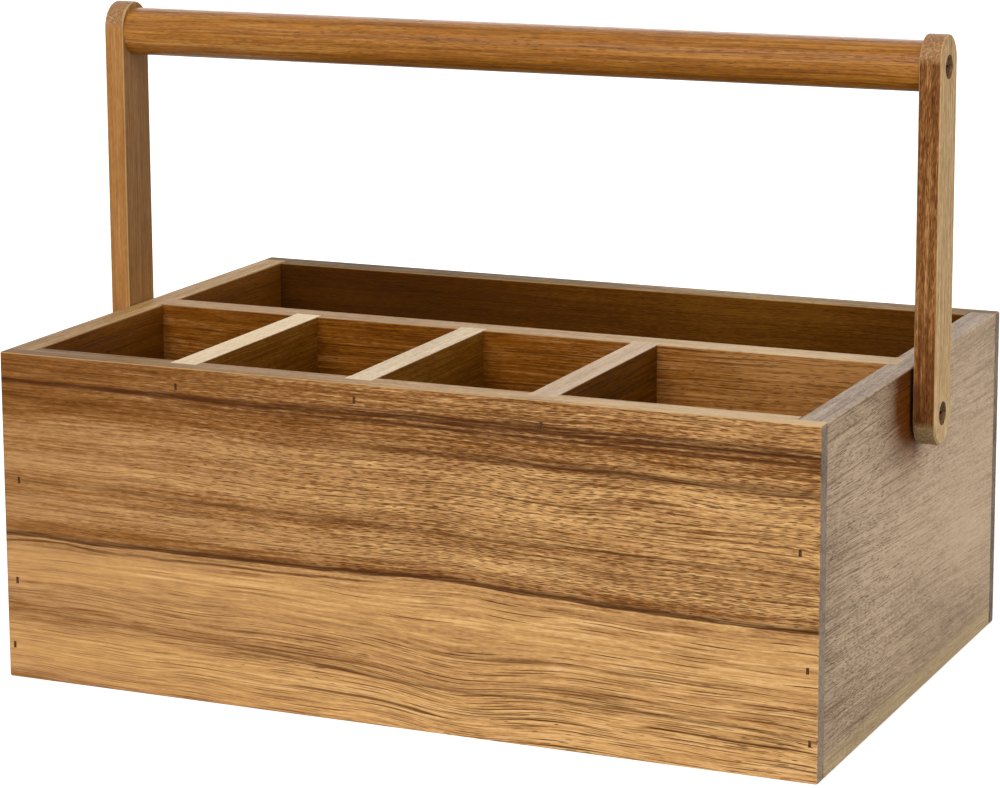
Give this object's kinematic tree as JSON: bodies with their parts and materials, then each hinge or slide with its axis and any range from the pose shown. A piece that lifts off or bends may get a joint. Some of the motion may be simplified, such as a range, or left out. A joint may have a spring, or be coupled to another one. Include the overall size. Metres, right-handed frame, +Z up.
{
  "type": "utensil caddy",
  "caption": "Open wooden utensil caddy with short front pockets, a long back pocket and a round carrying handle that swings down on its side arms.",
  "frame": {"origin": "on the table, under the middle of the box", "axes": "+X to the right along the front board, +Y from front to back, +Z up"},
  "size_m": [0.3496, 0.224, 0.2525],
  "materials": {
    "front_wood": "oiled acacia, straight grain, satin",
    "side_wood": "oiled acacia, greyer side face, satin",
    "divider_wood": "oiled acacia with pale top edges, satin",
    "bottom_wood": "thin oiled board, satin",
    "arm_wood": "oiled acacia, eased edges, satin",
    "dowel_wood": "varnished dowel, semi-gloss",
    "screw_steel": "zinc-plated steel",
    "brad_steel": "coated steel brads, filled over",
    "spacer_plastic": "black washer"
  },
  "bodies": {
    "box": {"front_panel": "front_wood", "back_panel": "front_wood", "left_side_panel": "side_wood", "right_side_panel": "side_wood", "bottom_panel": "bottom_wood", "long_divider": "divider_wood", "left_divider": "divider_wood", "middle_divider": "divider_wood", "right_divider": "divider_wood", "front_corner_brads": "brad_steel", "divider_end_brads": "brad_steel", "back_corner_brads": "brad_steel", "bottom_brads": "brad_steel", "left_pivot_spacer": "spacer_plastic", "right_pivot_spacer": "spacer_plastic", "left_pivot_screw": "screw_steel", "right_pivot_screw": "screw_steel"},
    "handle": {"left_handle_arm": "arm_wood", "right_handle_arm": "arm_wood", "handle_dowel": "dowel_wood", "left_dowel_screw": "screw_steel", "right_dowel_screw": "screw_steel"}
  },
  "joints": [
    {"name": "handle_fold", "type": "hinge", "parent": "box", "child": "handle", "pos_m": [0, 0, 0.111], "axis": [1, 0, 0], "range_deg": [-109.5, 109.5]}
  ]
}
